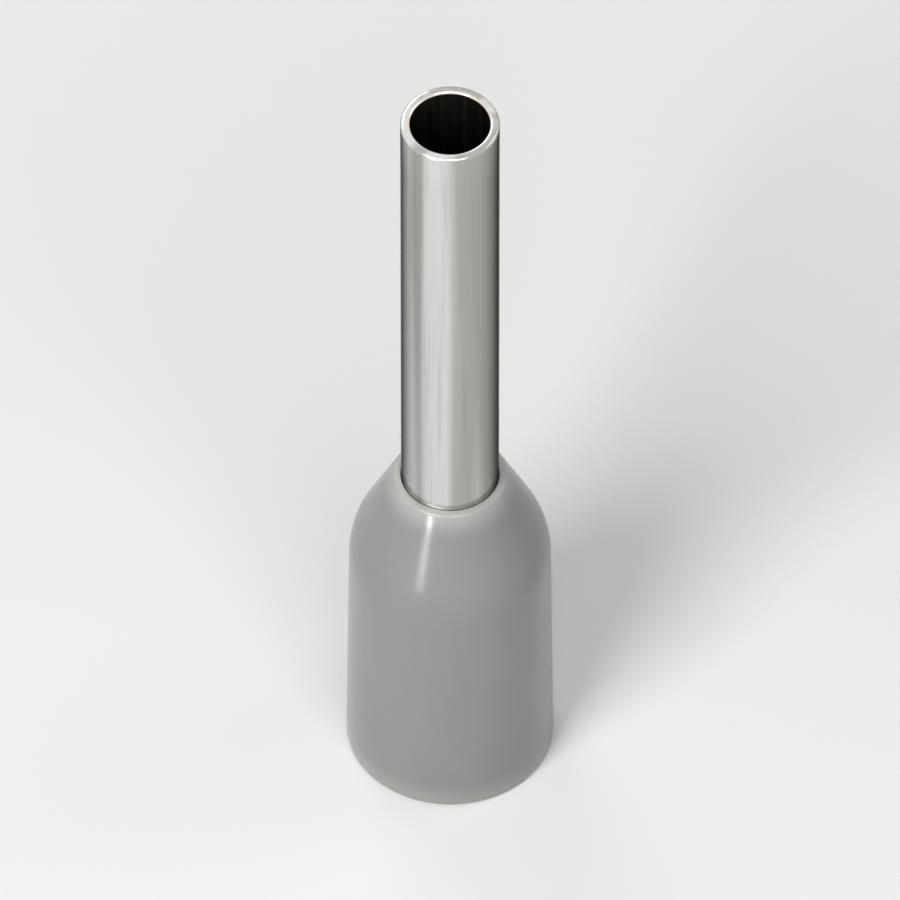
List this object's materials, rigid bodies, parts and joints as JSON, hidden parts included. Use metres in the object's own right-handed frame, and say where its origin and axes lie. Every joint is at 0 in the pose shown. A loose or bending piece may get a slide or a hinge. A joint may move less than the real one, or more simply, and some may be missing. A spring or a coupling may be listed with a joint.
{
  "type": "wire ferrule",
  "caption": "Insulated crimp wire ferrule: a thin tinned sleeve with a flared inner end, held in a moulded grey collar with a round shoulder.",
  "frame": {"origin": "centre of the collar's mouth rim, on the plane that the ferrule stands on", "axes": "+Z along the common axis of collar and sleeve, from the mouth that the wire enters to the sleeve's tip; X and Y are alike, because the part is round"},
  "size_m": [0.0032, 0.0032, 0.0143],
  "materials": {
    "tinned_copper": "bright tin plate over drawn copper, with faint lengthwise draw lines",
    "grey_collar": "smooth moulded grey plastic, glossy and faintly translucent"
  },
  "bodies": {
    "root": {"sleeve": "tinned_copper", "collar": "grey_collar"}
  },
  "joints": []
}
